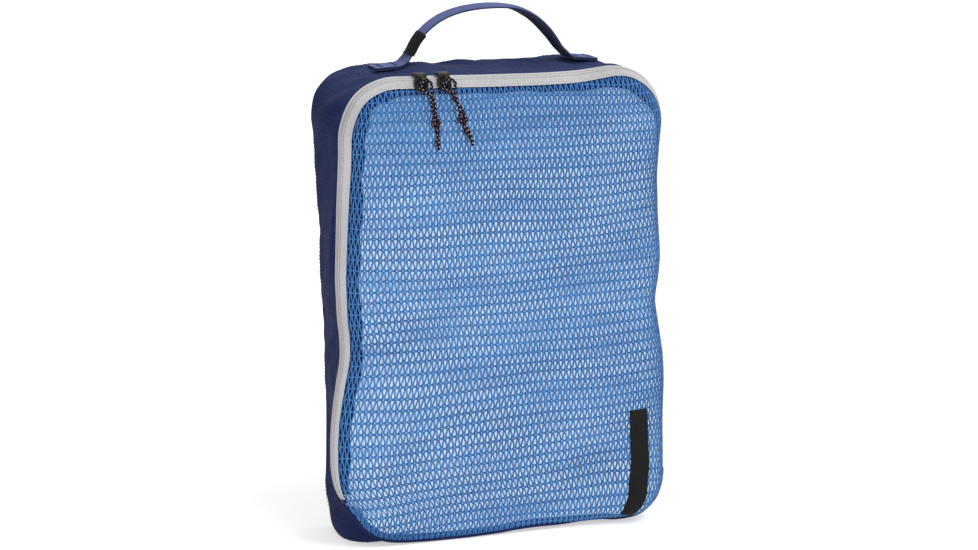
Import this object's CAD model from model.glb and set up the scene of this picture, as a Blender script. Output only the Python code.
"""Soft navy pouch with a knitted net front over white filling, a zip round the front edge and a
webbing handle on top.

It stands upright on z = 0, centred on x = 0: X runs to the right, Y from the front (-) to the
back (+), Z up. Sizes are in millimetres and turned into metres where meshes are made; the place
functions (shell, rim_point, tape_point ...) already return metres.
"""
import math
import bmesh
import bpy
import numpy as np
from mathutils import Vector, Matrix
from mathutils.geometry import delaunay_2d_cdt


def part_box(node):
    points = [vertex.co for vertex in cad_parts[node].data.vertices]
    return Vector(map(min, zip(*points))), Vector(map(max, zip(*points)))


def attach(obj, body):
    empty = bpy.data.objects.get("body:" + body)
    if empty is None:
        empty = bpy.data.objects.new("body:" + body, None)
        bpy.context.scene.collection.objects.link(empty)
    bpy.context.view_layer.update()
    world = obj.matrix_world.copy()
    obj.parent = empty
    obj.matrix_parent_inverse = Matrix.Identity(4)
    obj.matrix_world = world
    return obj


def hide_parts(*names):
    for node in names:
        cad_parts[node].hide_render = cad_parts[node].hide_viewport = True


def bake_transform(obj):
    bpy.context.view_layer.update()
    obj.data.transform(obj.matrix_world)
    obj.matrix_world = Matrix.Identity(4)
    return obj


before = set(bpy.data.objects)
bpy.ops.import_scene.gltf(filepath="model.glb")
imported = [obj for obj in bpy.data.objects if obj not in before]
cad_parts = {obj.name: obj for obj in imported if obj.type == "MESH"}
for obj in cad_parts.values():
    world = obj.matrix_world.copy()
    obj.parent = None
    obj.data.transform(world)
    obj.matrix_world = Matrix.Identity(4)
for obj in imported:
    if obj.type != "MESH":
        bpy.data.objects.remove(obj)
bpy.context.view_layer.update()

MM = 0.001
TURN = 2 * math.pi


def box_mm(node):
    """Low and high corner of a CAD piece, as x, y, z in millimetres."""
    lo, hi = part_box(node)
    return np.array(lo) / MM, np.array(hi) / MM


# ------------------------------------------------------------------ sizes read from the frame
gusset_lo, gusset_hi = box_mm("side_gusset")
apron_lo, apron_hi = box_mm("mesh_apron")
panel_lo, _ = box_mm("mesh_panel")
HALF_W, BACK_Y, HEIGHT = gusset_hi      # BACK_Y is the back seam
SEAM_Y = gusset_lo[1]                   # seam between outer tape and gusset
ZIP_Y = -BACK_Y                         # zip plane
GUSSET_Y = ZIP_Y + 3.3                  # where the gusset's front edge shows
NET_Y = apron_lo[1]                     # net plane at its edge
BULGE = NET_Y - panel_lo[1]             # how far the net swells forward
FOLD_Z = 0.5 * (apron_hi[2] + panel_lo[2])     # fold of the lid
TOP_R, LOW_R = 45.0, 40.0               # corner radii of the outline

# outline pieces: half bottom, corner, left side, corner, top, corner, right side, corner, half bottom
SIDE = HEIGHT - TOP_R - LOW_R
LOW_ARC, TOP_ARC = math.pi / 2 * LOW_R, math.pi / 2 * TOP_R
PIECES = np.array([HALF_W - LOW_R, LOW_ARC, SIDE, TOP_ARC, 2 * (HALF_W - TOP_R), TOP_ARC,
                   SIDE, LOW_ARC, HALF_W - LOW_R])
JOINS = np.concatenate([[0], np.cumsum(PIECES)])
AROUND = JOINS[-1]

# arc lengths of the zip's left and right end
ZIP_START = JOINS[1] + (JOINS[2] - JOINS[1]) * math.acos(1 - FOLD_Z / LOW_R) / (math.pi / 2)
ZIP_END = AROUND - ZIP_START
ZIP_ARCS = np.linspace(ZIP_START, ZIP_END, 640)
LOW_ARCS = np.linspace(ZIP_END, ZIP_START + AROUND, 230)


# ------------------------------------------------------------------ number helpers
def unit(value):
    return np.clip(value, 0, 1)


def smoothstep(value):
    value = unit(value)
    return value * value * (3 - 2 * value)


def pair(first, second):
    return np.stack(np.broadcast_arrays(first, second), -1)


def xyz(x, y, z):
    return np.stack(np.broadcast_arrays(x, y, z), -1)


def normed(vectors):
    return vectors / np.linalg.norm(vectors, axis=-1, keepdims=True)


def running_sum(values, step=1.0):
    """Running integral of the values by trapezoids, starting at 0."""
    return np.concatenate([[0], np.cumsum((values[1:] + values[:-1]) / 2 * step)])


def path_lengths(points):
    return np.concatenate([[0], np.cumsum(np.linalg.norm(np.diff(points, axis=0), axis=1))])


def rounded(values, power):
    """Power of the size with the sign kept: turns a circle's sine or cosine squarish."""
    return np.sign(values) * np.abs(values) ** power


def smooth_ring(values, width):
    """Gaussian smoothing of a closed ring of samples; the width is in samples."""
    freq = np.fft.rfftfreq(len(values))
    blur_gain = np.exp(-2 * (math.pi * freq * width) ** 2)
    return np.fft.irfft(np.fft.rfft(values) * blur_gain, len(values))


def waves(points, seed, span, count=14):
    """Smooth noise of about unit size, from waves with lengths in span. points is (..., d)."""
    rng = np.random.RandomState(seed)
    points = np.asarray(points, float)
    shortest, longest = span
    total = np.zeros(points.shape[:-1])
    for _ in range(count):
        heading = rng.normal(size=points.shape[-1])
        heading /= np.linalg.norm(heading)
        length = shortest * (longest / shortest) ** rng.rand()
        total += np.sin((points @ heading) * 2 * math.pi / length + rng.rand() * 6.283)
    return total / math.sqrt(count / 2)


# ------------------------------------------------------------------ outline
def outline(arc):
    """x, z and outward normal of the plain outline at an arc length.

    It starts at the bottom middle and goes up the left side.
    """
    arc = np.mod(np.asarray(arc, float), AROUND)
    piece = np.clip(np.searchsorted(JOINS, arc, side="right") - 1, 0, 8)
    run = arc - JOINS[piece]
    zero = np.zeros_like(arc)
    one = np.ones_like(arc)
    sin_low, cos_low = np.sin(run / LOW_R), np.cos(run / LOW_R)
    sin_top, cos_top = np.sin(run / TOP_R), np.cos(run / TOP_R)
    low_x, top_x = HALF_W - LOW_R, HALF_W - TOP_R
    low_z, top_z = LOW_R, HEIGHT - TOP_R
    x = np.choose(piece, [
        -run, -low_x - LOW_R * sin_low, -HALF_W * one, -top_x - TOP_R * cos_top, -top_x + run,
        top_x + TOP_R * sin_top, HALF_W * one, low_x + LOW_R * cos_low, low_x - run])
    z = np.choose(piece, [
        zero, low_z - LOW_R * cos_low, low_z + run, top_z + TOP_R * sin_top, HEIGHT * one,
        top_z + TOP_R * cos_top, top_z - run, low_z - LOW_R * sin_low, zero])
    normal_x = np.choose(piece, [zero, -sin_low, -one, -cos_top, zero, sin_top, one, cos_low, zero])
    normal_z = np.choose(piece, [-one, -cos_low, zero, sin_top, one, cos_top, zero, -sin_low, -one])
    return x, z, normal_x, normal_z


def off_outline(arc, out):
    """x and z at a distance outside the plain outline."""
    x, z, normal_x, normal_z = outline(arc)
    return x + normal_x * out, z + normal_z * out


def ring_table(knots, smooth):
    """A smooth closed table, one value per millimetre of outline, from (arc length, value)."""
    arcs, values = np.array(knots, float).T
    count = int(round(AROUND))
    even = np.arange(count) * AROUND / count
    three_turns = np.concatenate([arcs - AROUND, arcs, arcs + AROUND])
    return smooth_ring(np.interp(even, three_turns, np.tile(values, 3)), smooth)


def around(values, arc):
    """Reads a ring table at arc lengths."""
    count = len(values)
    place = np.mod(np.asarray(arc, float), AROUND) * count / AROUND
    i = np.floor(place).astype(int) % count
    part = place - np.floor(place)
    return values[i] * (1 - part) + values[(i + 1) % count] * part


# Ring tables below: columns are arc length and value.
# how far the front edge wanders off the plain outline, outwards
FRONT_OUT = ring_table([
    (0, -2.4), (30, -1.5), (60, -1.8), (82, -2.8), (93, -4.3), (108, -5.1), (120, -5.6),
    (134, -5.8), (147, -1.4), (157, 4.4), (167, 7.4), (180, 8.6), (200, 8.4), (214, 7.2),
    (230, 4.9), (246, 2.0), (260, -0.9), (276, -1.0), (292, 0.9), (322, 2.0), (352, 0.9),
    (382, -0.4), (412, -2.3), (443, -2.8), (465, -0.6), (494, -0.5), (540, -1.3), (566, -2.0),
    (614, -2.6), (640, -2.0), (655, 0.0), (672, 2.2), (682, 3.6), (700, 3.4), (715, 2.4),
    (745, -0.8), (770, -2.4), (800, -1.2), (833, 1.4), (850, 0.2), (868, -2.8), (890, 1.2),
    (912, 5.0), (932, 6.2), (965, 5.6), (1000, 6.6), (1026, 7.6), (1043, 5.6), (1058, -0.4),
    (1075, -3.6), (1092, -3.8), (1112, -3.8), (1132, -4.2), (1152, -3.4)], smooth=4)
# the same for the back seam
BACK_OUT = ring_table([
    (0, 0), (84, -0.3), (131, -1.0), (150, -3.6), (196, -4.6), (228, -4.8), (260, -4.4),
    (308, -3.1), (340, -2.6), (386, -0.6), (414, 1.0), (430, 2.2), (442, 6.0), (454, 9.0),
    (464, 8.8), (476, 4.8), (488, 2.6), (521, 2.6), (550, 0.8), (580, 1.6), (608, 1.4),
    (636, 3.2), (650, 2.4), (664, -0.5), (682, -5.5), (702, -11.5), (722, -10), (745, -5),
    (780, -2), (850, -3), (950, -4), (1000, -3), (1030, -1), (1075, -0.3)], smooth=8)
# how far the gusset swells out between its two seams
GUSSET_OUT = ring_table([
    (0, 0), (84, 0.5), (98, 9.0), (111, 17.0), (123, 13.0), (135, 1.5), (147, -1.6),
    (160, -3.6), (182, -4.4), (204, -3.2), (232, -0.8), (262, 1.6), (300, 2.0), (430, 2.0),
    (470, 2.4), (500, 3.2), (560, 3.4), (600, 3.4), (640, 3.0), (665, 1.4), (700, 0.6),
    (800, 2.0), (960, 2.0), (1005, 3.0), (1030, 4.0), (1055, 2.0), (1075, 0.3)], smooth=5)
# angle by which the zip and the net's edge roll over towards the side, in radians
ROLL = np.clip(ring_table([
    (0, 0), (640, 0.0), (662, 0.10), (684, 0.50), (705, 0.98), (722, 1.25), (735, 1.32),
    (1000, 1.32), (1045, 1.30), (1075, 0.9), (1105, 0.2), (1125, 0)], smooth=5), 0, 1.33)
# 1 where the net rises steeply from its edge, 0 where it swells softly
STEEPNESS = ring_table([
    (0, 0), (650, 0.0), (690, 0.45), (730, 1.0), (1010, 1.0), (1050, 0.85), (1085, 0.25),
    (1110, 0)], smooth=10)
# width of the front half of the zip tape left uncovered
TAPE_WIDTH = ring_table([
    (0, 3.0), (130, 1.2), (150, 1.6), (160, 3.0), (175, 3.9), (220, 4.3), (260, 4.9),
    (300, 5.3), (350, 5.8), (400, 6.5), (440, 6.7), (520, 6.9), (640, 6.7), (680, 6.4),
    (720, 5.6), (995, 5.4), (1006, 2.5), (1014, 1.2)], smooth=3)


# ------------------------------------------------------------------ the soft surfaces
def wall_out(arc, y):
    """How far the smooth side wall stands outside the plain outline."""
    back_share = unit((y - ZIP_Y) / (BACK_Y - ZIP_Y))
    across = unit((y - GUSSET_Y) / (BACK_Y - GUSSET_Y))
    return around(FRONT_OUT, arc) * (1 - back_share) + around(BACK_OUT, arc) * back_share \
        + around(GUSSET_OUT, arc) * np.power(4 * across * (1 - across), 0.70)


def seam_pucker(arc, pitch, sway, sway_length, gap):
    """Small puckers that fade with the gap from a seam."""
    phase = arc * 2 * math.pi / pitch + sway * np.sin(arc / sway_length)
    return 0.26 * np.sin(phase) * np.exp(-np.clip(gap, 0, 99) / 6.0)


# dips of the cloth in front of each foot of the handle: x, depth
FOOT_DIPS = ((-74.0, 3.2), (76.0, 1.6))


def wrinkles(arc, y):
    """Wrinkles of the side wall, outwards."""
    # none along the bottom
    raised = unit(np.abs(((arc + AROUND / 2) % AROUND) - AROUND / 2) / 60 - 1.6)
    # none where the seams hold the cloth
    free = unit((y - GUSSET_Y) / 9) * unit((BACK_Y - y) / 8)
    cloth = pair(arc, y / 0.8)
    swell = 0.75 * waves(cloth, seed=3, span=(50, 130)) + 0.20 * waves(cloth, seed=5, span=(20, 40))
    drag = 0.30 * waves(pair(arc + 1.1 * y, 0.25 * (y - arc)), seed=9, span=(18, 44))
    pucker = seam_pucker(arc, 13.7, 1.3, 31.0, gap=y - GUSSET_Y) \
        + seam_pucker(arc, 15.3, 1.7, 27.0, gap=BACK_Y - y)
    near_seams = unit((y - GUSSET_Y) / 3) * unit((BACK_Y - y) / 2)
    out = raised * free * (swell + drag) + raised * near_seams * pucker
    # slanting creases across the top
    on_top = unit((arc - JOINS[3] - 20) / 30) * unit((JOINS[6] - 20 - arc) / 30)
    slant = pair(arc * 0.8 + 0.9 * y, 0.30 * (y - 0.6 * arc))
    crease = waves(slant, seed=19, span=(15, 34), count=12)
    out = out + on_top * free * (0.75 * crease - 0.35)
    for foot_x, depth in FOOT_DIPS:
        foot_arc = JOINS[4] + (foot_x + HALF_W - TOP_R)
        out = out - depth * np.exp(-((arc - foot_arc) / 13.0) ** 2 - ((y + 9.0) / 6.0) ** 2)
    return out


def shell(arc, y, inside=0.0, wrinkled=True):
    """Point of the soft side wall, at a distance inside its outer face."""
    arc, y, inside = np.broadcast_arrays(np.asarray(arc, float), np.asarray(y, float),
                                         np.asarray(inside, float))
    out = wall_out(arc, y)
    if wrinkled:
        out = out + wrinkles(arc, y)
    x, z = off_outline(arc, out - inside)
    return xyz(x, y, np.maximum(z, 0.12 + inside)) * MM


def smooth_shell(arc, y, inside):
    return shell(arc, y, inside, wrinkled=False)


def rim_point(arc, across, lift=0.0):
    """Point on the front rim: distance across its surface from the zip's chain, lift over it."""
    arc, across, lift = np.broadcast_arrays(np.asarray(arc, float), np.asarray(across, float),
                                            np.asarray(lift, float))
    roll = around(ROLL, arc)
    # flat rim: lies in the net's plane
    flat_y = NET_Y - lift
    # rolled rim: the strip stands at the roll angle from the chain
    rolled_in = across * np.cos(roll) - lift * np.sin(roll) + 1.1 * unit(roll / 1.3) ** 3
    rolled_y = ZIP_Y - 0.6 - across * np.sin(roll) - lift * np.cos(roll)
    share = smoothstep(roll / 0.5)
    inward = across * (1 - share) + rolled_in * share
    y = flat_y * (1 - share) + rolled_y * share
    x, z = off_outline(arc, around(FRONT_OUT, arc) - inward)
    return xyz(x, y, np.maximum(z, 0.25)) * MM


def tape_point(arc, across, lift):
    """Point of the front half of the zip tape: a crowned strip rounding over the front edge."""
    share = unit(across / around(TAPE_WIDTH, arc))
    rise = 2.4 * (np.power(share, 0.5) - 1.0) + 0.35
    crown = 0.30 * np.sin(math.pi * share)
    rolled = unit(around(ROLL, arc) / 0.5)
    return rim_point(arc, across, lift + (rise + crown) * (1 - rolled) + crown * rolled)


def tape_share_point(arc, share, lift):
    """The same, with the place across as a share of the tape's width."""
    return tape_point(arc, share * around(TAPE_WIDTH, arc), lift)


# ------------------------------------------------------------------ mesh helpers
def make_mesh(name, verts, faces, mat, uv=None):
    """Smooth mesh object from points in metres and a list of face arrays."""
    mesh = bpy.data.meshes.new(name)
    verts = np.asarray(verts, float)
    mesh.vertices.add(len(verts))
    mesh.vertices.foreach_set("co", verts.ravel())
    loops = np.concatenate([f.ravel() for f in faces])
    counts = np.concatenate([np.full(len(f), f.shape[1]) for f in faces])
    starts = np.concatenate([[0], np.cumsum(counts)[:-1]])
    mesh.loops.add(len(loops))
    mesh.loops.foreach_set("vertex_index", loops.astype(np.int32))
    mesh.polygons.add(len(counts))
    mesh.polygons.foreach_set("loop_start", starts.astype(np.int32))
    mesh.polygons.foreach_set("loop_total", counts.astype(np.int32))
    mesh.polygons.foreach_set("use_smooth", np.ones(len(counts), bool))
    mesh.update(calc_edges=True)
    mesh.validate(clean_customdata=False)
    if uv is not None:
        layer = mesh.uv_layers.new(name="wv")
        layer.data.foreach_set("uv", np.asarray(uv, float)[loops].ravel())
    ob = bpy.data.objects.new(name, mesh)
    bpy.context.scene.collection.objects.link(ob)
    mesh.materials.append(mat)
    return ob


def fix_normals(ob):
    bm = bmesh.new()
    bm.from_mesh(ob.data)
    bmesh.ops.recalc_face_normals(bm, faces=bm.faces)
    bm.to_mesh(ob.data)
    bm.free()
    ob.data.update()
    return ob


def join(name, obs):
    bpy.ops.object.select_all(action="DESELECT")
    for ob in obs:
        ob.select_set(True)
    bpy.context.view_layer.objects.active = obs[0]
    bpy.ops.object.join()
    obs[0].name = name
    obs[0].data.name = name
    return obs[0]


def register(ob, body, slot, *replaced):
    if body:
        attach(ob, body)
    if replaced:
        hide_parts(*replaced)
    return ob


def ring_quads(rings, count, closed=False):
    """Quads between successive rings of count points each."""
    i = np.arange(rings if closed else rings - 1)[:, None]
    j = np.arange(count)[None, :]
    after, beside = (i + 1) % rings, (j + 1) % count
    return np.stack([i * count + j, i * count + beside, after * count + beside,
                     after * count + j], -1).reshape(-1, 4)


def ring_solid(name, rings, hubs, mat, with_uv=False):
    """Solid of rings, closed by fans round hubs: ("first" or "last" ring, centre point)."""
    count = len(rings[0])
    k = np.arange(count)
    beside = (k + 1) % count
    faces = [ring_quads(len(rings), count)]
    for i, (end, _) in enumerate(hubs):
        base = (len(rings) - 1) * count
        edge = (base + k, base + beside) if end == "last" else (beside, k)
        faces.append(np.stack([*edge, np.full(count, len(rings) * count + i)], -1))
    verts = np.concatenate([*rings, np.array([centre for _, centre in hubs], float)])
    uv = verts[:, [0, 2]] if with_uv else None
    return fix_normals(make_mesh(name, verts * MM, faces, mat, uv))


def sweep(name, stations, profile, place, mat, closed=False):
    """Solid strip: place(station, a, b) puts each (a, b) of the closed profile at each station."""
    stations = np.asarray(stations, float)
    profile = np.asarray(profile, float)
    rings, count = len(stations), len(profile)
    verts = place(stations[:, None], profile[None, :, 0], profile[None, :, 1]).reshape(-1, 3)
    uv = pair(stations[:, None], path_lengths(profile)[None, :]).reshape(-1, 2)
    faces = [ring_quads(rings, count, closed)]
    if not closed:
        faces.append(np.arange(count)[None, :])
        faces.append(((rings - 1) * count + np.arange(count)[::-1])[None, :])
    return make_mesh(name, verts, faces, mat, uv)


def strip_profile(a0, a1, b0, b1, steps):
    """Flat closed strip: out along a at b0, back at b1."""
    return [(a0 + (a1 - a0) * k / steps, b0) for k in range(steps + 1)] \
        + [(a1 - (a1 - a0) * k / steps, b1) for k in range(steps + 1)]


def rounded_profile(a0, a1, b0, b1, steps):
    """The same with rounded edges."""
    thick = b1 - b0
    face = [a0 + (a1 - a0) * k / steps for k in range(steps + 1)]
    low, high, bow = b0 + thick * 0.28, b0 + thick * 0.72, thick * 0.32
    return [(a, b0) for a in face] + [(a1 + bow, low), (a1 + bow, high)] \
        + [(a, b1) for a in face[::-1]] + [(a0 - bow, high), (a0 - bow, low)]


def round_profile(radius):
    return [(radius * math.cos(k * math.pi / 4), radius * math.sin(k * math.pi / 4))
            for k in range(8)]


def tube(name, points, radius, mat, sides=10, closed=False, bump=None):
    """Tube along points in mm. bump(length, angle) adds to the radius."""
    points = np.asarray(points, float)
    count = len(points)
    if closed:
        tangents = normed(np.roll(points, -1, 0) - np.roll(points, 1, 0))
    else:
        tangents = normed(np.gradient(points, axis=0))
    normal = normed(np.cross(tangents[0], np.array([0.31, 0.87, 0.38])))
    frames = []
    for tangent in tangents:
        normal = normed(normal - tangent * (normal @ tangent))
        frames.append((normal, np.cross(tangent, normal)))
    across, over = (np.array(axis) for axis in zip(*frames))
    if closed:
        # spread the leftover twist round the loop
        twist = np.linspace(0, math.atan2(across[0] @ over[-1], across[0] @ across[-1]),
                            count)[:, None]
        across, over = (across * np.cos(twist) + over * np.sin(twist),
                        over * np.cos(twist) - across * np.sin(twist))
    lengths = path_lengths(points)[:, None]
    angles = (np.arange(sides) * 2 * math.pi / sides)[None, :]
    radii = np.full((count, sides), float(radius))
    if bump is not None:
        radii = radii + bump(lengths, angles)
    spokes = np.cos(angles)[..., None] * across[:, None] + np.sin(angles)[..., None] * over[:, None]
    verts = (points[:, None, :] + radii[..., None] * spokes).reshape(-1, 3)
    uv = pair(lengths, angles).reshape(-1, 2)
    faces = [ring_quads(count, sides, closed)]
    if not closed:
        first, last = len(verts), len(verts) + 1
        verts = np.concatenate([verts,
                                points[:1] - tangents[:1] * np.mean(radii[0]) * 0.35,
                                points[-1:] + tangents[-1:] * np.mean(radii[-1]) * 0.35])
        uv = np.concatenate([uv, uv[:1], uv[-1:]])
        k = np.arange(sides)
        base, beside = (count - 1) * sides, (k + 1) % sides
        faces.append(np.stack([np.full(sides, first), beside, k], -1))
        faces.append(np.stack([np.full(sides, last), base + k, base + beside], -1))
    return make_mesh(name, verts * MM, faces, mat, uv)


def spline(controls, count):
    """Catmull-Rom curve through control points, sampled evenly by length."""
    ctrl = np.asarray(controls, float)
    ctrl = np.concatenate([2 * ctrl[:1] - ctrl[1:2], ctrl, 2 * ctrl[-1:] - ctrl[-2:-1]])
    curve = []
    for i in range(1, len(ctrl) - 2):
        before, start, end, after = ctrl[i - 1:i + 3]
        for t in np.linspace(0, 1, 24, endpoint=False):
            curve.append(0.5 * ((2 * start) + (-before + end) * t
                                + (2 * before - 5 * start + 4 * end - after) * t * t
                                + (-before + 3 * start - 3 * end + after) * t ** 3))
    curve.append(ctrl[-2])
    curve = np.array(curve)
    lengths = path_lengths(curve)
    even = np.linspace(0, lengths[-1], count)
    return np.stack([np.interp(even, lengths, column) for column in curve.T], -1)


def along_path(values, index):
    """Rows of an array read at fractional indices."""
    index = np.clip(index, 0, len(values) - 1)
    low = np.floor(index).astype(int)
    high = np.minimum(low + 1, len(values) - 1)
    part = (index - low)[..., None]
    return values[low] * (1 - part) + values[high] * part


# ------------------------------------------------------------------ materials
def srgb(*levels):
    """Linear colour from 0-255 levels."""
    def linear(level):
        level /= 255.0
        return level / 12.92 if level <= 0.04045 else ((level + 0.055) / 1.055) ** 2.4
    return (*map(linear, levels), 1.0)


class Shader:
    """A small builder for node materials round one Principled shader."""

    INPUTS = {"color": "Base Color", "rough": "Roughness", "metal": "Metallic",
              "normal": "Normal", "sheen": "Sheen Weight", "sheen_rough": "Sheen Roughness",
              "spec": "Specular IOR Level", "emit": "Emission Color",
              "emit_strength": "Emission Strength"}

    def __init__(self, name):
        self.material = bpy.data.materials.new(name)
        self.material.use_nodes = True
        self.tree = self.material.node_tree
        self.tree.nodes.clear()
        output = self.new("OutputMaterial")
        self.principled = self.new("BsdfPrincipled")
        self.tree.links.new(self.principled.outputs[0], output.inputs[0])

    def new(self, kind):
        return self.tree.nodes.new("ShaderNode" + kind)

    def put(self, socket, value):
        if isinstance(value, bpy.types.NodeSocket):
            self.tree.links.new(value, socket)
        else:
            socket.default_value = value

    def math(self, operation, first, second=0.0):
        node = self.new("Math")
        node.operation = operation
        self.put(node.inputs[0], first)
        self.put(node.inputs[1], second)
        return node.outputs[0]

    def add(self, first, second):
        return self.math("ADD", first, second)

    def times(self, first, second):
        return self.math("MULTIPLY", first, second)

    def weigh(self, *terms):
        """Sum of (value, weight) terms."""
        value, weight = terms[0]
        total = self.times(value, weight)
        for value, weight in terms[1:]:
            total = self.add(total, self.times(value, weight))
        return total

    def wave(self, coord, pitch):
        return self.math("SINE", self.times(coord, TURN / pitch))

    def weave(self, pitch):
        """Plain weave relief with a thread pitch in mm."""
        x, y, _ = self.uv_axes()
        return self.weave_of(x, y, pitch)

    def weave_of(self, x, y, pitch):
        return self.times(self.wave(x, pitch), self.wave(y, pitch))

    def uv_map(self, name):
        node = self.new("UVMap")
        node.uv_map = name
        return node.outputs[0]

    def coords(self, kind, scale=1):
        """UV ("uv", mm) or object ("obj", metres) coordinates, scaled by one or three numbers."""
        source = self.uv_map("wv") if kind == "uv" else self.new("TexCoord").outputs["Object"]
        mapping = self.new("Mapping")
        scale = scale if isinstance(scale, tuple) else (scale,) * 3
        mapping.inputs["Scale"].default_value = scale
        self.tree.links.new(source, mapping.inputs[0])
        return mapping.outputs[0]

    def noise(self, kind, scale, detail=2.0, rough=0.5):
        source = self.coords(kind, scale)
        node = self.new("TexNoise")
        self.put(node.inputs["Vector"], source)
        node.inputs["Scale"].default_value = 1.0
        node.inputs["Detail"].default_value = detail
        node.inputs["Roughness"].default_value = rough
        return node.outputs[0]

    def ramp(self, factor, stops):
        node = self.new("ValToRGB")
        self.put(node.inputs[0], factor)
        elements = node.color_ramp.elements
        while len(elements) < len(stops):
            elements.new(0.5)
        for element, (position, color) in zip(elements, stops.items()):
            element.position = position
            element.color = color
        return node.outputs[0]

    def colors(self, factor, stops):
        """Ramp with stops {position: 0-255 levels}."""
        return self.ramp(factor, {at: srgb(*levels) for at, levels in stops.items()})

    def gains(self, factor, stops):
        """Ramp with stops {position: linear factors}."""
        return self.ramp(factor, {at: (*gain, 1) for at, gain in stops.items()})

    def mix(self, factor, first, second, mode="MIX"):
        node = self.new("Mix")
        node.data_type = "RGBA"
        node.blend_type = mode
        self.put(node.inputs[0], factor)
        self.put(node.inputs[6], first)
        self.put(node.inputs[7], second)
        return node.outputs[2]

    def tint(self, color, gain):
        return self.mix(1.0, color, gain, "MULTIPLY")

    def split(self, vector):
        node = self.new("SeparateXYZ")
        self.put(node.inputs[0], vector)
        return node.outputs

    def uv_axes(self):
        return self.split(self.coords("uv"))

    def upwardness(self):
        """Z part of the surface normal."""
        return self.split(self.new("NewGeometry").outputs["Normal"])[2]

    def bump(self, height, depth, strength):
        node = self.new("Bump")
        node.inputs["Strength"].default_value = strength
        node.inputs["Distance"].default_value = depth
        self.put(node.inputs["Height"], height)
        return node.outputs[0]

    def finish(self, **values):
        for key, value in values.items():
            self.put(self.principled.inputs[self.INPUTS[key]], value)
        return self.material


RIPSTOP_PITCH = 3.6        # spacing of the heavier threads in the navy cloth


def navy_material():
    sh = Shader("navy_ripstop")
    x, y, _ = sh.uv_axes()
    thread = sh.math("MAXIMUM", sh.noise("uv", (2.6, 0.5, 1), rough=0.6),
                     sh.noise("uv", (0.5, 2.6, 1), rough=0.6))
    cloud = sh.noise("obj", 14, detail=3, rough=0.55)
    color = sh.colors(sh.weigh((thread, 0.85), (cloud, 0.2)),
                      {0.44: (19, 28, 66), 0.62: (30, 40, 82), 0.80: (58, 70, 114)})
    # paler where the cloth faces up
    color = sh.tint(color, sh.gains(sh.upwardness(),
                                    {0.25: (0.80, 0.82, 0.88), 0.90: (2.5, 2.1, 1.42)}))
    weave = sh.weave_of(x, y, pitch=0.9)
    lines = [sh.math("POWER", sh.math("ABSOLUTE", sh.wave(axis, 2 * RIPSTOP_PITCH)), 24)
             for axis in (x, y)]
    grid = sh.math("MAXIMUM", *lines)
    color = sh.mix(sh.times(grid, 0.10), color, srgb(78, 82, 134))
    height = sh.weigh((weave, 0.5), (thread, 1.2), (grid, 0.5))
    return sh.finish(color=color, rough=0.75, sheen=0.0, spec=0.06,
                     normal=sh.bump(height, depth=0.00022, strength=0.8))


def webbing_material():
    sh = Shader("navy_webbing")
    x, y, _ = sh.uv_axes()
    rib_pitch = 1.5
    rib = sh.math("SINE", sh.add(sh.times(x, TURN / rib_pitch), sh.times(sh.wave(y, 2.2), 1.2)))
    fibre = sh.noise("uv", (0.7, 4.0, 1), detail=3, rough=0.6)
    cloud = sh.noise("obj", 30)
    color = sh.colors(sh.weigh((fibre, 0.75), (cloud, 0.25)),
                      {0.30: (66, 75, 116), 0.55: (90, 101, 148), 0.8: (122, 134, 180)})
    # darker underneath
    facing = sh.add(sh.times(sh.upwardness(), 0.5), 0.5)
    color = sh.tint(color, sh.gains(facing, {0.30: (0.12, 0.12, 0.15), 0.92: (1, 1, 1)}))
    return sh.finish(color=color, rough=0.75, sheen=0.06, sheen_rough=0.4, spec=0.12,
                     normal=sh.bump(sh.weigh((rib, 0.5), (fibre, 0.9)),
                                    depth=0.00025, strength=0.8))


def binding_material(name, dark, light):
    sh = Shader(name)
    weave = sh.weave(pitch=0.8)
    fibre = sh.noise("uv", (1.0, 3.0, 1), rough=0.6)
    return sh.finish(color=sh.colors(fibre, {0.3: dark, 0.7: light}), rough=0.8, spec=0.08,
                     normal=sh.bump(weave, depth=0.0002, strength=0.7))


def tape_material(name, dark, middle, light):
    sh = Shader(name)
    x, y, _ = sh.uv_axes()
    twill = sh.wave(sh.add(x, sh.times(y, 1.25)), pitch=1.05)
    warp = sh.wave(y, pitch=0.75)
    fibre = sh.noise("uv", (1.5, 2.4, 1), detail=3, rough=0.6)
    soil = sh.noise("obj", 22, detail=3)
    factor = sh.add(sh.times(fibre, 0.55), sh.weigh((twill, 0.1), (soil, 0.35)))
    height = sh.weigh((twill, 0.5), (warp, 0.3), (fibre, 0.6))
    return sh.finish(color=sh.colors(factor, {0.25: dark, 0.55: middle, 0.8: light}),
                     rough=0.85, sheen=0.05, spec=0.15,
                     normal=sh.bump(height, depth=0.0002, strength=0.75))


def grain_material(name, dark, light, grain=1800, rough=0.6, strength=0.6, sheen=0.05, spec=0.15):
    """Fine-grained material of threads and coil."""
    sh = Shader(name)
    fibre = sh.noise("obj", grain)
    return sh.finish(color=sh.colors(fibre, {0.3: dark, 0.7: light}), rough=rough, sheen=sheen,
                     spec=spec, normal=sh.bump(fibre, depth=0.0001, strength=strength))


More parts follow.
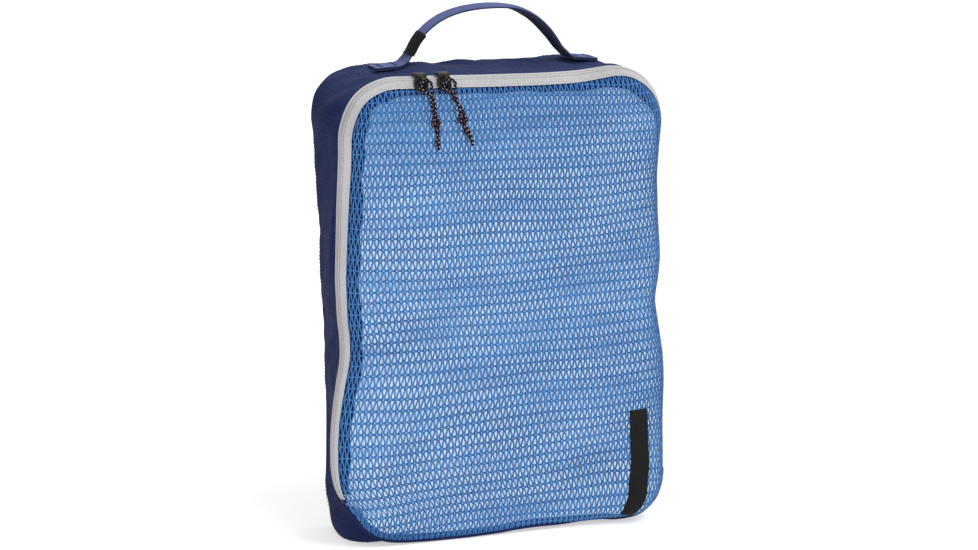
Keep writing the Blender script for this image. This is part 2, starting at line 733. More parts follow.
def net_material():
    """Knitted yarn, coloured by the rim value: dark in the knots, light along the yarns."""
    sh = Shader("blue_net")
    yarn = sh.noise("obj", (1400, 1400, 420), detail=3, rough=0.65)
    cloud = sh.noise("obj", (14, 14, 30), detail=3, rough=0.55)
    rim = sh.split(sh.uv_map("rim"))[0]
    factor = sh.add(rim, sh.times(sh.math("SUBTRACT", yarn, 0.5), 0.34))
    color = sh.colors(factor, {0.0: (24, 68, 126), 0.30: (36, 86, 146), 0.54: (74, 130, 188),
                               0.80: (82, 138, 196), 0.99: (46, 98, 158)})
    color = sh.tint(color, sh.gains(cloud, {0.35: (0.80, 0.82, 0.86), 0.65: (1.12, 1.10, 1.06)}))
    height = sh.weigh((sh.math("MINIMUM", rim, 0.6), 1.6), (yarn, 0.9))
    return sh.finish(color=color, rough=0.55, sheen=0.06, sheen_rough=0.35, spec=0.18,
                     normal=sh.bump(height, depth=0.0004, strength=0.7))


def filling_material():
    sh = Shader("white_filling")
    broad = sh.noise("obj", (9, 9, 66), detail=4, rough=0.55)
    narrow = sh.noise("obj", (24, 24, 90), detail=3, rough=0.6)
    color = sh.colors(sh.weigh((broad, 0.65), (narrow, 0.35)),
                      {0.34: (178, 202, 230), 0.44: (206, 226, 244), 0.54: (230, 243, 250)})
    # bluer above a slanting height (metres), in blots
    x, _, z = sh.split(sh.coords("obj"))
    slanted = sh.math("SUBTRACT", z, sh.times(x, 0.24))
    blot = sh.noise("obj", (32, 32, 26))
    above = sh.math("DIVIDE", sh.math("SUBTRACT", slanted, 0.272), 0.1)
    above = sh.times(above, sh.add(0.35, sh.times(blot, 1.5)))
    color = sh.tint(color, sh.gains(above, {0.0: (1, 1, 1), 0.95: (0.50, 0.66, 0.84)}))
    fibre = sh.noise("obj", 700, detail=3, rough=0.6)
    # light soaks through the stuffing where the net lies close over it
    occlusion = sh.new("AmbientOcclusion")
    occlusion.samples = 6
    occlusion.inputs["Distance"].default_value = 0.008
    glow = sh.times(sh.math("SUBTRACT", 1.0, occlusion.outputs["AO"]), 0.53)
    return sh.finish(color=color, rough=0.9, sheen=0.05, spec=0.1,
                     normal=sh.bump(sh.weigh((narrow, 6.0), (fibre, 0.5)),
                                    depth=0.0005, strength=0.5),
                     emit=sh.tint(color, (0.90, 1.06, 1.26, 1)), emit_strength=glow)


def label_material():
    sh = Shader("black_label")
    weave = sh.weave(pitch=0.5)
    fibre = sh.noise("uv", (2, 2, 1), detail=3, rough=0.6)
    return sh.finish(color=sh.colors(fibre, {0.3: (14, 14, 14), 0.75: (28, 28, 28)}),
                     rough=0.6, spec=0.12,
                     normal=sh.bump(sh.add(sh.times(weave, 0.6), fibre),
                                    depth=0.00015, strength=0.7))


def cord_material():
    sh = Shader("flecked_cord")
    x, y, _ = sh.uv_axes()

    def spiral(operation, pitch, turns):
        return sh.math("SINE", sh.math(operation, sh.times(x, TURN / pitch), sh.times(y, turns)))

    braid = sh.times(spiral("ADD", pitch=1.7, turns=3.0), spiral("SUBTRACT", pitch=1.7, turns=3.0))
    fleck_a = spiral("ADD", pitch=3.4, turns=2.0)
    fleck_b = spiral("SUBTRACT", pitch=3.4, turns=1.0)
    fleck = sh.times(sh.math("GREATER_THAN", fleck_a, 0.55),
                     sh.math("GREATER_THAN", fleck_b, 0.25))
    fibre = sh.noise("obj", 500)
    patch = sh.noise("obj", 160, detail=1)
    color = sh.colors(fibre, {0.3: (12, 8, 16), 0.75: (34, 24, 38)})
    pale = sh.colors(patch, {0.4: (196, 166, 190), 0.6: (205, 205, 212)})
    return sh.finish(color=sh.mix(sh.times(fleck, 0.8), color, pale), rough=0.65, spec=0.12,
                     normal=sh.bump(sh.add(braid, fibre), depth=0.0003, strength=0.8))


def gunmetal_material():
    sh = Shader("gunmetal")
    grain = sh.noise("obj", 260, detail=3, rough=0.6)
    return sh.finish(color=sh.colors(grain, {0.35: (30, 29, 28), 0.7: (66, 63, 58)}),
                     rough=sh.add(0.20, sh.times(grain, 0.22)), metal=0.85, spec=0.4,
                     normal=sh.bump(grain, depth=0.00008, strength=0.4))


FLOOR_GREY = 0.60


def floor_material():
    sh = Shader("pale_floor")
    cloud = sh.noise("obj", 3)
    color = sh.gains(cloud, {0.2: (FLOOR_GREY * 0.985,) * 3, 0.8: (FLOOR_GREY,) * 3})
    return sh.finish(color=color, rough=0.9, spec=0.1, emit=(1, 1, 1, 1), emit_strength=0.53)


NAVY = navy_material()
WEBBING = webbing_material()
BINDING = binding_material("binding_tape", dark=(30, 33, 74), light=(52, 56, 104))
FACING = binding_material("dark_facing", dark=(11, 30, 80), light=(22, 46, 108))
NET_FOLD = binding_material("blue_net_fold", dark=(26, 76, 140), light=(58, 116, 184))
TAPE = tape_material("zip_tape", dark=(158, 156, 157), middle=(184, 183, 186),
                     light=(202, 201, 204))
COIL = grain_material("zip_coil", (120, 116, 112), (160, 156, 152), grain=400, rough=0.5,
                      strength=0.5, sheen=0.0, spec=0.3)
NET = net_material()
FILLING = filling_material()
TAPE_RIM = tape_material("zip_tape_rim", dark=(188, 186, 184), middle=(206, 205, 205),
                         light=(220, 219, 219))
LABEL = label_material()
CORD = cord_material()
GUNMETAL = gunmetal_material()
NAVY_THREAD = grain_material("navy_thread", (34, 38, 84), (64, 70, 124))
GREY_THREAD = grain_material("grey_thread", (176, 171, 167), (214, 211, 208))
DARK_THREAD = grain_material("dark_grey_thread", (92, 88, 84), (128, 123, 118))
BLACK_THREAD = grain_material("black_thread", (14, 14, 15), (40, 40, 42))


# ------------------------------------------------------------------ gusset strips
def gusset_point(arc, y, inside):
    """Side wall whose outer face turns in at the back seam."""
    turn = unit((y - (BACK_Y - 2.6)) / 2.6)
    return shell(arc, y, inside + 1.5 * turn ** 2 * (inside < 0.5))


GUSSET_THICK = 0.9
register(sweep("gusset_side", np.linspace(ZIP_START, ZIP_END, 640),
               strip_profile(GUSSET_Y - 0.2, BACK_Y, 0.0, GUSSET_THICK, 34), gusset_point, NAVY),
         "pouch", "navy_fabric", "side_gusset")
register(sweep("gusset_bottom", LOW_ARCS,
               strip_profile(NET_Y + 1.0, BACK_Y, 0.0, GUSSET_THICK, 34), gusset_point, NAVY),
         "pouch", "navy_fabric", "bottom_gusset")


# ------------------------------------------------------------------ zip
def outer_tape_point(arc, y, inside):
    """Outer half of the tape: follows the gusset and rounds over the front edge."""
    edge = unit((ZIP_Y + 2.0 - y) / 2.0)
    return smooth_shell(arc, y, inside + 0.8 * edge ** 2)


register(sweep("zip_tape_gusset_side", ZIP_ARCS,
               strip_profile(ZIP_Y + 0.2, GUSSET_Y + 0.8, -0.30, 0.35, 10),
               outer_tape_point, TAPE),
         "pouch", "zip_tape", "outer_zip_tape")
# corded rim where the tape is sewn to the gusset
register(sweep("zip_tape_rim", ZIP_ARCS, round_profile(0.55),
               lambda arc, a, b: smooth_shell(arc, GUSSET_Y + 0.35 + a, -0.15 + b), TAPE_RIM),
         "pouch", "zip_tape")

# front half: share of the width, lift
front_profile = [(-0.02 + 1.02 * (k / 14) ** 1.4, 0.30) for k in range(15)] \
    + [(1.0 - 1.02 * (k / 14) ** 0.8, -0.30) for k in range(15)]
register(sweep("zip_tape_front_side", ZIP_ARCS, front_profile, tape_share_point, TAPE),
         "lid", "zip_tape", "inner_zip_tape")
register(sweep("zip_tape_edge", ZIP_ARCS, round_profile(0.36),
               lambda arc, a, b: tape_point(arc, around(TAPE_WIDTH, arc) - 0.05 + a, 0.30 + b),
               TAPE_RIM),
         "lid", "zip_tape")


def stitches(name, start, end, pitch, length, place, radius, mat, body):
    """A row of small stitches on a surface: place(arc, lift) gives the line they follow."""
    count = int((end - start) / pitch)
    middles = start + pitch * (np.arange(count) + 0.5)
    steps = np.array([-0.5, -0.28, 0.28, 0.5]) * length
    lift = np.array([-0.15, 0.12, 0.12, -0.15])
    spine = place(middles[:, None] + steps[None, :], lift[None, :])
    tangent = normed(spine[:, 3] - spine[:, 0])
    across = normed(np.cross(tangent, np.array([0.3, 0.8, 0.5])))
    over = np.cross(tangent, across)
    sides = 4
    angles = (np.arange(sides) * 2 * math.pi / sides)[:, None]
    spokes = np.cos(angles) * across[:, None] + np.sin(angles) * over[:, None]
    radii = np.array([0.5, 1.0, 1.0, 0.5]) * radius * MM
    verts = spine[:, :, None, :] + radii[:, None, None] * spokes[:, None]
    base = (np.arange(count) * 4 * sides)[:, None]
    faces = np.concatenate([(base[..., None] + ring_quads(4, sides)).reshape(-1, 4),
                            base + np.arange(sides)[::-1], base + 3 * sides + np.arange(sides)])
    ob = make_mesh(name, verts.reshape(-1, 3), [faces], mat)
    register(fix_normals(ob), body, "thread")


stitches("zip_stitches_front", ZIP_START + 3, ZIP_END - 3, pitch=1.5, length=0.95,
         place=lambda arc, lift: tape_point(arc, 1.15, 0.30 + lift),
         radius=0.22, mat=DARK_THREAD, body="lid")
stitches("zip_stitches_edge", ZIP_START + 3, ZIP_END - 3, pitch=2.6, length=1.7,
         place=lambda arc, lift: tape_point(arc, around(TAPE_WIDTH, arc) - 1.1, 0.30 + lift),
         radius=0.14, mat=GREY_THREAD, body="lid")
stitches("gusset_stitches_front", ZIP_START + 3, ZIP_END - 3, pitch=3.0, length=2.1,
         place=lambda arc, lift: shell(arc, GUSSET_Y + 2.2, -0.02 - lift),
         radius=0.17, mat=NAVY_THREAD, body="pouch")
stitches("gusset_stitches_back", 0.0, AROUND, pitch=3.0, length=2.1,
         place=lambda arc, lift: shell(arc, BACK_Y - 4.0, -0.02 - lift),
         radius=0.17, mat=NAVY_THREAD, body="pouch")

COIL_PITCH, COIL_RADIUS = 1.35, 0.62


def coil(name, place, body, node):
    """One row of coil loops: place(arc, a, b) puts the turning wire."""
    per_turn = 7
    count = int((ZIP_END - ZIP_START) / COIL_PITCH) * per_turn
    arcs = np.linspace(ZIP_START + 1, ZIP_END - 1, count)
    phase = np.arange(count) * 2 * math.pi / per_turn
    points = place(arcs, COIL_RADIUS * np.cos(phase), COIL_RADIUS * np.sin(phase)) / MM
    register(tube(name, points, 0.26, COIL, sides=5), body, "zip_coil", node)


coil("zip_coil_gusset_side", lambda arc, a, b: smooth_shell(arc, ZIP_Y + 0.75 + a, 1.5 + b),
     "pouch", "outer_zip_coil")
coil("zip_coil_front_side", lambda arc, a, b: tape_point(arc, 1.2 + a, -1.25 + b),
     "lid", "inner_zip_coil")

# inside bindings, hidden when shut
register(sweep("binding_zip_seam", np.linspace(ZIP_START + 1, ZIP_END - 1, 300),
               rounded_profile(SEAM_Y + 1.5, SEAM_Y + 9, 1.9, 2.6, 3), smooth_shell, BINDING),
         "pouch", "binding_tape", "front_binding")
register(sweep("binding_back_seam", np.linspace(0, AROUND, 420, endpoint=False),
               rounded_profile(BACK_Y - 3.4, BACK_Y - 0.9, 3.0, 4.6, 3), smooth_shell, BINDING,
               closed=True),
         "pouch", "binding_tape", "back_binding")
register(sweep("binding_bottom_seam", np.linspace(ZIP_END + 4, ZIP_START + AROUND - 4, 200),
               rounded_profile(NET_Y + 2.2, NET_Y + 7, 1.3, 2.6, 3), smooth_shell, BINDING),
         "pouch", "binding_tape", "bottom_seam_binding")
register(sweep("binding_net_edge", np.linspace(ZIP_START + 9, ZIP_END - 9, 300),
               rounded_profile(0.45, 0.98, -1.9, -1.2, 3), tape_share_point, BINDING),
         "lid", "binding_tape", "mesh_binding")


def end_pair(name, before, after, steps, profile, place, mat):
    """Two short strips, mirrored at the zip's ends, from before to after each start."""
    spans = ((ZIP_START + before, ZIP_START + after), (ZIP_END - after, ZIP_END - before))
    return join(name, [sweep("strip", np.linspace(start, end, steps), profile, place, mat)
                       for start, end in spans])


register(end_pair("gusset_seam_tapes_in", 1, 9, 9,
                  rounded_profile(SEAM_Y + 11, BACK_Y - 4, 1.3, 2.1, 12), shell, BINDING),
         "pouch", "binding_tape", "gusset_seam_tapes")
# folded fabric over the tape ends
register(end_pair("zip_end_tabs_sewn", -3.5, 2.5, 10,
                  rounded_profile(ZIP_Y + 0.2, GUSSET_Y + 2.0, -0.95, -0.40, 8),
                  smooth_shell, NAVY),
         "pouch", "navy_fabric", "zip_end_tabs")
register(end_pair("zip_end_tabs_lid_side", 0.3, 3.2, 10,
                  rounded_profile(0.2, 2.6, 0.45, 1.0, 8), tape_point, NAVY),
         "lid", "navy_fabric")

# ------------------------------------------------------------------ fields over the front
CELL = 2.5
GRID_X = np.arange(-150, 150.1, CELL)
GRID_Z = np.arange(-10, 380.1, CELL)
EDGE_ARCS = np.linspace(0, AROUND, 1200, endpoint=False)
EDGE = rim_point(EDGE_ARCS, 0.0)[:, [0, 2]] / MM


def edge_fields():
    """For each grid place: distance inside the front edge, and arc length of the nearest edge."""
    _, _, normal_x, normal_z = outline(EDGE_ARCS)
    inset = np.empty((len(GRID_X), len(GRID_Z)))
    nearest = np.empty_like(inset)
    row = np.arange(len(GRID_Z))
    for i, x in enumerate(GRID_X):
        off_x = x - EDGE[None, :, 0] + 0 * GRID_Z[:, None]
        off_z = GRID_Z[:, None] - EDGE[None, :, 1]
        k = np.argmin(off_x * off_x + off_z * off_z, axis=1)
        near_x, near_z = off_x[row, k], off_z[row, k]
        sign = np.sign(-(near_x * normal_x[k] + near_z * normal_z[k]) + 1e-9)
        inset[i] = np.sqrt(near_x ** 2 + near_z ** 2) * sign
        nearest[i] = EDGE_ARCS[k]
    return inset, nearest


def sample(field, x, z):
    """Reads a grid field between its places."""
    col = np.clip((np.asarray(x, float) - GRID_X[0]) / CELL, 0, len(GRID_X) - 1.001)
    row = np.clip((np.asarray(z, float) - GRID_Z[0]) / CELL, 0, len(GRID_Z) - 1.001)
    i, j = np.floor(col).astype(int), np.floor(row).astype(int)
    u, v = col - i, row - j
    return field[i, j] * (1 - u) * (1 - v) + field[i + 1, j] * u * (1 - v) \
        + field[i, j + 1] * (1 - u) * v + field[i + 1, j + 1] * u * v


def blur(field, rounds):
    for _ in range(rounds):
        pad = np.pad(field, 1, mode="edge")
        field = (pad[:-2, 1:-1] + pad[2:, 1:-1] + pad[1:-1, :-2] + pad[1:-1, 2:] + 2 * field) / 6
    return field


def membrane(mask, rounds):
    """Height of an inflated sheet held at its edge, scaled to 1."""
    held = mask.astype(float)
    depth = np.clip(INSET, 0, 130)
    height = held * depth * (260 - depth) / 2
    for _ in range(rounds):
        height = held * (np.roll(height, 1, 0) + np.roll(height, -1, 0) + np.roll(height, 1, 1)
                         + np.roll(height, -1, 1) + CELL ** 2) / 4
    return height / height.max()


INSET, NEAREST = edge_fields()
beside_zip = (NEAREST > ZIP_START) & (NEAREST < ZIP_END)
# inner edge of the tape as seen from the front
tape_edge = tape_point(EDGE_ARCS, around(TAPE_WIDTH, EDGE_ARCS), 0.0) / MM
tape_seen = np.hypot(tape_edge[:, 0] - EDGE[:, 0], tape_edge[:, 2] - EDGE[:, 1])
edge_index = np.clip(np.round(NEAREST / AROUND * 1200).astype(int), 0, 1199)
TAPE_EDGE_Y = blur(np.where(beside_zip, tape_edge[:, 1][edge_index], NET_Y), 1)
# 1 where the net itself covers the tape
COVER = blur(smoothstep((unit(around(ROLL, NEAREST) / 1.3) - 0.86) / 0.14), 1)
# inset at which the net comes out from under the tape, and where it is cut off
NET_START = blur(np.where(beside_zip, tape_seen[edge_index] - 0.25, 0.9), 1) * (1 - COVER) \
    + 0.9 * COVER
NET_CUT = np.maximum(NET_START - np.where(beside_zip, 1.7, 0.0) * (1 - COVER) - 0.1 * COVER, 0.8)
STEEP = blur(around(STEEPNESS, NEAREST) * unit(1.25 - np.clip(INSET, 0, 200) / 90.0), 26)
PUFF = np.power(unit(membrane(INSET > 0.0, 2600)), 0.66)
ZIP_SHARE = blur(beside_zip.astype(float), 2)


def lumps(x, z):
    """Soft unevenness of the filled front, fine (wider than tall) and broad."""
    level = z - 0.075 * x - 3.0 * np.sin(x / 47.0)
    fine = waves(pair(x * 0.30, level), seed=31, span=(15, 34), count=18)
    broad = waves(pair(x * 0.8, level), seed=33, span=(50, 130), count=10)
    return fine, broad


STEEP_RISE, STEEP_RUN = 19.0, 3.9      # height of the steep side and how fast it levels off


def levelling(inset):
    return 1 - np.exp(-np.clip(inset, 0, 200) / STEEP_RUN)


def net_y(x, z):
    """Depth of the net's outer face."""
    fine, broad = lumps(x, z)
    inset = sample(INSET, x, z)
    steep = sample(STEEP, x, z)
    start = sample(NET_START, x, z)
    cover = sample(COVER, x, z)
    tape_y = sample(TAPE_EDGE_Y, x, z)
    tuck = 1.25 * (1 - smoothstep((inset - start) / 3.0)) * sample(ZIP_SHARE, x, z) * (1 - cover)
    puff = sample(PUFF, x, z) * np.power(unit((inset - start) / 9.0), 0.8)
    soft = NET_Y - 0.1 - puff * BULGE + tuck
    over_tape = ZIP_Y - 0.6 - STEEP_RISE * levelling(inset - 0.1)
    from_tape = tape_y + 1.2 - (STEEP_RISE + tape_y - ZIP_Y) * levelling(inset - start)
    side = over_tape * cover + from_tape * (1 - cover)
    y = soft * (1 - steep) + np.minimum(side, soft + 4.0) * steep
    return y - unit((inset - start) / 16.0) * (0.50 * fine + 0.9 * broad)


def slopes(height, x, z, step):
    """Slopes of height(x, z) along x and z."""
    return ((height(x + step, z) - height(x - step, z)) / (2 * step),
            (height(x, z + step) - height(x, z - step)) / (2 * step))


# ------------------------------------------------------------------ the net
NET_PITCH, NET_PERIOD = 4.46, 14.9     # the net's repeat across and up
NET_THICK = 0.5
# right-hand outline of a drop-shaped hole: half width, height above the cross bar
DROP_SIDE = [(0.74, 0.78), (1.03, 1.6), (0.58, 3.4)]


def is_inside(point, polygon):
    crossings = 0
    for i, (x0, y0) in enumerate(polygon):
        x1, y1 = polygon[(i + 1) % len(polygon)]
        if (y0 > point[1]) != (y1 > point[1]) \
                and point[0] < x0 + (point[1] - y0) / (y1 - y0) * (x1 - x0):
            crossings += 1
    return crossings % 2 == 1


def net_tile():
    """One column of the net over one period: bar, drop, eyelet, drop, bar.

    Returns points, triangles and the rim value of each point.
    """
    sway = 0.27 * NET_PITCH / 2
    steps = 8
    heights = [NET_PERIOD * k / steps for k in range(steps + 1)]
    right = [(NET_PITCH / 4 + sway * math.cos(2 * math.pi * v / NET_PERIOD), v) for v in heights]
    left = [(-u, v) for u, v in right[::-1]]
    # each bar's middle is a vertex
    outer = [(0.0, 0.0)] + right + [(0.0, NET_PERIOD)] + left
    low = [(0.0, 0.58)] + DROP_SIDE + [(0.0, 5.6)] + [(-u, v) for u, v in DROP_SIDE[::-1]]
    high = [(u, NET_PERIOD - v) for u, v in low[::-1]]
    middle = NET_PERIOD / 2
    eyelet = [(0.0, middle - 1.0), (0.34, middle), (0.0, middle + 1.0), (-0.34, middle)]
    holes = [low, high, eyelet]
    points, edges = [], []
    for polygon in [outer] + holes:
        base = len(points)
        points += [Vector(corner) for corner in polygon]
        edges += [(base + i, base + (i + 1) % len(polygon)) for i in range(len(polygon))]
    cut = delaunay_2d_cdt(points, edges, [list(range(len(outer)))], 1, 1e-6)
    verts = np.array([[v.x, v.y] for v in cut[0]])
    tris = []
    for face in cut[2]:
        face = list(face)
        centre = verts[face].mean(0)
        if not any(is_inside(centre, hole) for hole in holes):
            tris += [(face[0], face[k], face[k + 1]) for k in range(1, len(face) - 1)]
    rim = np.zeros(len(verts))
    for i, (u, v) in enumerate(verts):
        if any(abs(u - corner[0]) + abs(v - corner[1]) < 1e-4 for corner in outer):
            rim[i] = 1.0
            # the cross bars are bound tightly and stay dark
            if v < 0.3 or v > NET_PERIOD - 0.3:
                rim[i] = 0.36 if abs(u) < 0.1 else 0.62
    return verts, np.array(tris), rim


HEIGHTS = np.arange(-10, 381, 1.0)
LEFT_ARCS = np.linspace(JOINS[2] - 14, JOINS[3] + 20, 400)


def side_x(arcs):
    """x of the front edge at each of HEIGHTS, from one side's arc lengths."""
    points = rim_point(arcs, 0) / MM
    return np.interp(HEIGHTS, points[:, 2], points[:, 0])


def spread(widths):
    """Share of the way out at each of SHARES, and how many times the columns outnumber that."""
    total = running_sum(widths)
    return total / total[-1], (len(SHARES) - 1) / total[-1]


LEFT_X, RIGHT_X = side_x(LEFT_ARCS), side_x(AROUND - LEFT_ARCS)
SHARES = np.linspace(0, 1, 400)
# columns crowd together near the side; the right half is drawn in a little more
column_width = 1 - 0.36 * unit((SHARES - 0.80) / 0.14)
LEFT_SPREAD, LEFT_FULL = spread(column_width)
RIGHT_SPREAD, RIGHT_FULL = spread(column_width * (1 - 0.08 * unit((SHARES - 0.3) / 0.3)))


def net_map(u, v):
    """Flat net coordinates to x, z."""
    # rows run nearly level, drawn up to the right in places, and stand a little taller low down
    lean = 0.055 * u * np.exp(-((v - 95) / 60.0) ** 2) \
        + 0.085 * np.logaddexp(0, (u - 62) / 8.0) * 8.0 * np.exp(-((v - 225) / 80.0) ** 2)
    z = v + lean + 0.9 * waves(pair(u * 0.55, v), seed=41, span=(60, 140), count=8)
    z = 360 - (360 - z) * (1 + 0.055 * np.clip((360 - z) / 250.0, 0, 1.3))
    left = np.interp(z, HEIGHTS, LEFT_X) + 4.0
    right = np.interp(z, HEIGHTS, RIGHT_X) - 4.0
    half_flat = np.where(u < 0, 124.5 * LEFT_FULL, 124.5 * RIGHT_FULL)
    drift = waves(pair(u, v * 0.6), seed=43, span=(50, 120), count=8)
    share = (u + 0.5 * drift) / half_flat
    size = np.abs(share)
    out = np.where(share < 0, np.interp(size, SHARES, LEFT_SPREAD),
                   np.interp(size, SHARES, RIGHT_SPREAD))
    x = (left + right) / 2 + np.sign(share) * out * (right - left) / 2 \
        + np.sign(share) * np.clip(size - 1, 0, 9) * 125
    return x, z


def flat_net():
    """The whole flat net: points, triangles and rim values, with shared points merged."""
    tile, tile_tris, tile_rim = net_tile()
    reach = int(132 * max(LEFT_FULL, RIGHT_FULL) / (NET_PITCH / 2)) + 2
    points, tris = [], []
    for col in range(-reach, reach + 1):
        shift = NET_PERIOD / 2 if col % 2 else 0.0
        for row in range(-2, int(372 / NET_PERIOD) + 1):
            tris.append(tile_tris + len(points) * len(tile))
            points.append(tile + np.array([col * NET_PITCH / 2, row * NET_PERIOD + shift]))
    rim = np.tile(tile_rim, len(points))
    points = np.concatenate(points)
    key = np.round(points * 500).astype(np.int64)
    _, first, merged = np.unique(key[:, 0] * 100000000 + key[:, 1],
                                 return_index=True, return_inverse=True)
    tris = merged.ravel()[np.concatenate(tris)]
    a, b, c = tris.T
    return points[first], tris[(a != b) & (b != c) & (a != c)], rim[first]


def shift_inset(x, z, wanted, rounds):
    """Moves points across the edge by wanted(inset)."""
    for _ in range(rounds):
        slope_x, slope_z = slopes(lambda px, pz: sample(INSET, px, pz), x, z, 1.5)
        steepness = np.maximum(slope_x ** 2 + slope_z ** 2, 0.25)
        move = wanted(sample(INSET, x, z))
        x = x + slope_x / steepness * move
        z = z + slope_z / steepness * move
    return x, z


def crowd_steep_side(x, z):
    """Draws the points on the steep right side together, so the net keeps its size up the slope."""
    reach = 11.0
    insets = np.linspace(0.0, reach, 200)
    slope_length = np.sqrt(1 + (STEEP_RISE / STEEP_RUN * np.exp(-insets / STEEP_RUN)) ** 2)
    length = running_sum(slope_length, np.diff(insets))
    flat = reach - length[-1] + length
    inset = sample(INSET, x, z)
    steep = np.clip(sample(STEEP, x, z) * 1.35 - 0.2, 0, 1) * (x > 0)
    goal = np.where(inset < flat[0], inset - flat[0], np.interp(inset, flat, insets))
    goal = inset + np.where(inset < reach, goal - inset, 0.0) * steep
    return shift_inset(x, z, lambda now: (goal - now) * (steep > 0), rounds=4)


def double_area(x, z, tris):
    a, b, c = tris.T
    return (x[b] - x[a]) * (z[c] - z[a]) - (x[c] - x[a]) * (z[b] - z[a])


def fit_net():
    """Fitted net: flat points, rim values, front points, back points, triangles, open edges."""
    flat, tris, rim = flat_net()
    x, z = crowd_steep_side(*net_map(flat[:, 0], flat[:, 1]))
    inset = sample(INSET, x, z)
    limit = sample(NET_CUT, x, z)
    # pull points outside the net's edge back onto it
    x, z = shift_inset(x, z, lambda now: np.clip(limit - now, 0, None), rounds=3)
    tris = tris[(inset[tris] > limit[tris]).any(axis=1)]
    # drop faces squeezed to nothing at the edge
    tris = tris[np.abs(double_area(x, z, tris)) / 2 > 1e-3]
    # open edges, for the walls of the holes
    edges = np.concatenate([tris[:, [0, 1]], tris[:, [1, 2]], tris[:, [2, 0]]])
    key = np.sort(edges, axis=1)
    _, first, uses = np.unique(key[:, 0] * 10000000 + key[:, 1],
                               return_index=True, return_counts=True)
    open_edges = edges[first[uses == 1]]
    slope_x, slope_z = slopes(net_y, x, z, 1.2)
    front = xyz(x, net_y(x, z), z)
    back = front - normed(xyz(slope_x, -1.0, slope_z)) * NET_THICK
    # counter-clockwise in x, z faces forward
    turned = double_area(x, z, tris) < 0
    tris[turned] = tris[turned][:, ::-1]
    return flat, rim, front, back, tris, open_edges


flat_uv, rim_value, net_front, net_back, net_tris, net_edges = fit_net()
NET_SPLIT_Z = 112.0


def net_piece(name, tris, edges):
    used = np.unique(np.concatenate([tris.ravel(), edges.ravel()]))
    index = -np.ones(len(net_front), int)
    index[used] = np.arange(len(used))
    count = len(used)
    tris = index[tris]
    start, end = index[edges].T
    walls = np.stack([start, end, end + count, start + count], -1)
    faces = np.concatenate([tris, tris[:, ::-1] + count, walls[:, [0, 1, 2]], walls[:, [0, 2, 3]]])
    ob = make_mesh(name, np.concatenate([net_front[used], net_back[used]]) * MM, [faces], NET,
                   uv=np.concatenate([flat_uv[used], flat_uv[used]]))
    layer = ob.data.uv_layers.new(name="rim")
    corners = np.empty(len(ob.data.loops), np.int32)
    ob.data.loops.foreach_get("vertex_index", corners)
    rim = np.concatenate([rim_value[used], np.zeros(count)])[corners]
    layer.data.foreach_set("uv", pair(rim, 0.0).ravel())
    ob.data.uv_layers.active = ob.data.uv_layers["wv"]
    return ob


tri_high = net_front[:, 2][net_tris].mean(1) >= NET_SPLIT_Z
edge_high = net_front[:, 2][net_edges].mean(1) >= NET_SPLIT_Z
net_upper = net_piece("net_front_upper", net_tris[tri_high], net_edges[edge_high])
net_lower = net_piece("net_front_lower", net_tris[~tri_high], net_edges[~edge_high])
fix_normals(net_upper)
fix_normals(net_lower)
# pieces across the lid's fold follow the pouch below it and the lid above
register(net_upper, "lid", "net", "mesh_panel")
register(net_lower, None, "net", "mesh_apron")
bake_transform(net_lower)


# ------------------------------------------------------------------ strips behind the net's edge
def behind_net(arc, inset, gap):
    x, z = off_outline(arc, around(FRONT_OUT, arc) - inset)
    return xyz(x, net_y(x, z) + NET_THICK + gap, z) * MM


FACING_START = ZIP_START + 7
facing_arcs = np.linspace(FACING_START, JOINS[6] + 6, 260)
# narrower at both ends and along the top
facing_width = 9.6 - 3.0 * unit((FACING_START + 40 - facing_arcs) / 40) \
    - 4.8 * np.exp(-((facing_arcs - 565) / 95.0) ** 4) \
    + 0.45 * waves(facing_arcs[:, None], seed=71, span=(30, 70), count=10) \
    - 7.0 * unit((facing_arcs - JOINS[6] + 30) / 36)


def facing_point(arc, share, gap):
    arc, share, gap = np.broadcast_arrays(arc, share, gap)
    width = np.interp(arc, facing_arcs, facing_width)
    return behind_net(arc, around(TAPE_WIDTH, arc) - 1.2 + (width + 1.2) * share, gap)


facing_profile = [(k / 7, 0.12 + 0.1 * k / 7) for k in range(8)] \
    + [(1 - k / 7, 0.42 + 0.1 * (7 - k) / 7) for k in range(8)]
register(fix_normals(sweep("net_edge_facing", facing_arcs, facing_profile, facing_point, FACING)),
         "lid", "binding_tape")
# the net's lower edge is folded double under the hem
register(fix_normals(sweep("net_hem_fold", np.linspace(ZIP_END + 4, ZIP_START + AROUND - 4, 200),
                           strip_profile(0.3, 6.5, 0.12, 0.5, 5), behind_net, NET_FOLD)),
         "pouch", "net")

# ------------------------------------------------------------------ filling behind the net
# inset of the filling from the front edge: arc lengths, insets
FILL_ARCS = [0, 90, 120, 160, 190, 260, 330, 440, 520, 600, 650, 700, 722, 740, 790, 1010, 1050,
             1080, AROUND]
FILL_INSETS = [2.6, 2.6, 3.6, 6.5, 9.5, 11.5, 12.5, 13.5, 10.5, 10.0, 12.5, 12.5, 10.5, 7.5, 3.4,
               2.9, 2.9, 2.8, 2.6]


